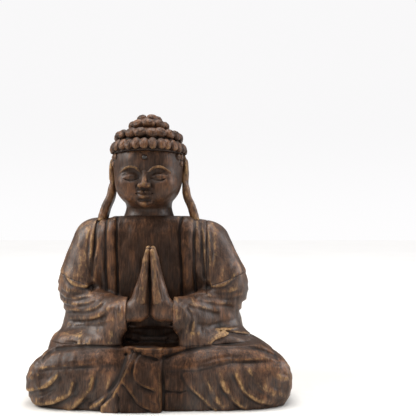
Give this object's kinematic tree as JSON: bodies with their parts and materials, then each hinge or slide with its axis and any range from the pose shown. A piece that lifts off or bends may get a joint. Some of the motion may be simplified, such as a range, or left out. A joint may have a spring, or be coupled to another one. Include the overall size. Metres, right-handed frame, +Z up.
{
  "type": "seated buddha statue",
  "caption": "Carved wooden figure seated cross-legged in a pleated robe, hands pressed together at the chest, with curled hair, a topknot and long ear lobes.",
  "frame": {"origin": "middle of the bounding box on the underside of the statue", "axes": "+Z up, the figure faces -Y, its own right side is on -X"},
  "size_m": [0.2228, 0.1149, 0.25],
  "materials": {
    "carved_wood": "dark antiqued stain with worn tan ridges, satin",
    "inlay_wood": "near-black stain, satin",
    "dowel_wood": "raw, unfinished"
  },
  "bodies": {
    "root": {"seat_block": "carved_wood", "right_leg": "carved_wood", "left_leg": "carved_wood", "front_drape": "carved_wood", "torso": "carved_wood", "right_upper_arm": "carved_wood", "left_upper_arm": "carved_wood", "right_forearm": "carved_wood", "left_forearm": "carved_wood", "right_hand": "carved_wood", "left_hand": "carved_wood", "head": "carved_wood", "crown": "carved_wood", "topknot": "carved_wood", "right_ear": "carved_wood", "left_ear": "carved_wood", "urna": "inlay_wood", "neck_dowel": "dowel_wood", "crown_dowel": "dowel_wood", "topknot_dowel": "dowel_wood", "shoulder_dowels": "dowel_wood", "elbow_dowels": "dowel_wood", "wrist_dowels": "dowel_wood", "palm_dowels": "dowel_wood", "lap_dowels": "dowel_wood", "sleeve_dowels": "dowel_wood", "leg_dowels": "dowel_wood", "seat_dowels": "dowel_wood", "drape_dowels": "dowel_wood", "ear_pins": "dowel_wood"}
  },
  "joints": []
}
